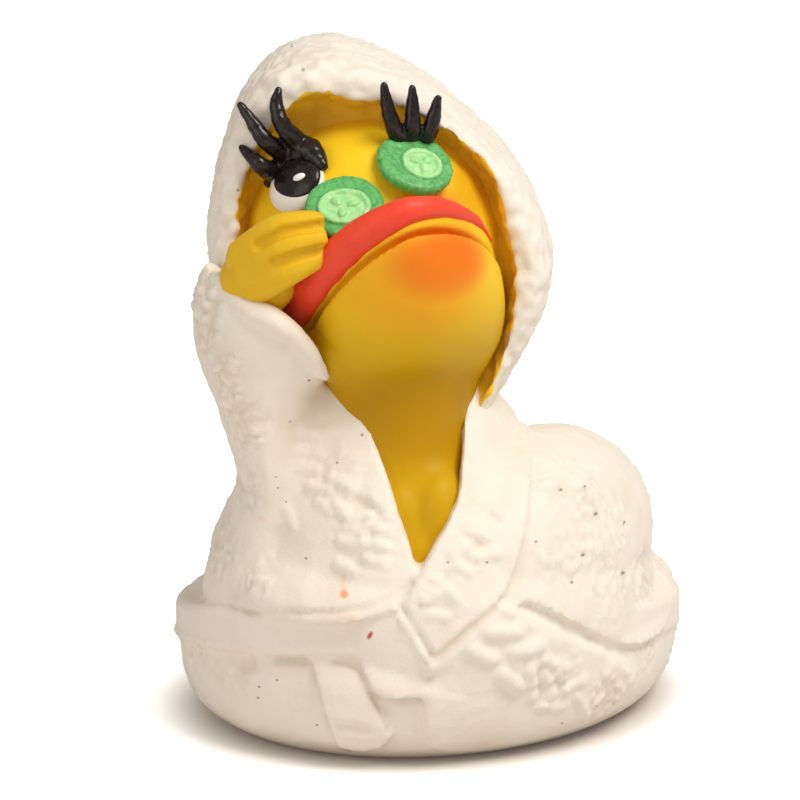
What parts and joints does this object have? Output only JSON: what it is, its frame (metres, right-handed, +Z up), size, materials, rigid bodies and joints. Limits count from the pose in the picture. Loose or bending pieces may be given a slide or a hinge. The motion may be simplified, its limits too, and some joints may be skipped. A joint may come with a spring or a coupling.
{
  "type": "rubber duck",
  "caption": "Painted rubber duck figure in a hooded bathrobe, head tilted back, one wing raised, on a flat base.",
  "frame": {"origin": "centre of the flat base that the duck stands on", "axes": "+Z up, -Y towards whoever faces the robe's open front, +X to their right"},
  "size_m": [0.0736, 0.087, 0.098],
  "materials": {
    "robe_paint": "matt warm white paint on rubber",
    "skin_paint": "satin yellow paint with an orange blush",
    "lip_paint": "satin red paint",
    "lash_paint": "gloss black paint",
    "eye_paint": "satin white paint",
    "cucumber_paint": "satin green paint"
  },
  "bodies": {
    "root": {"duck": "robe_paint"}
  },
  "joints": []
}
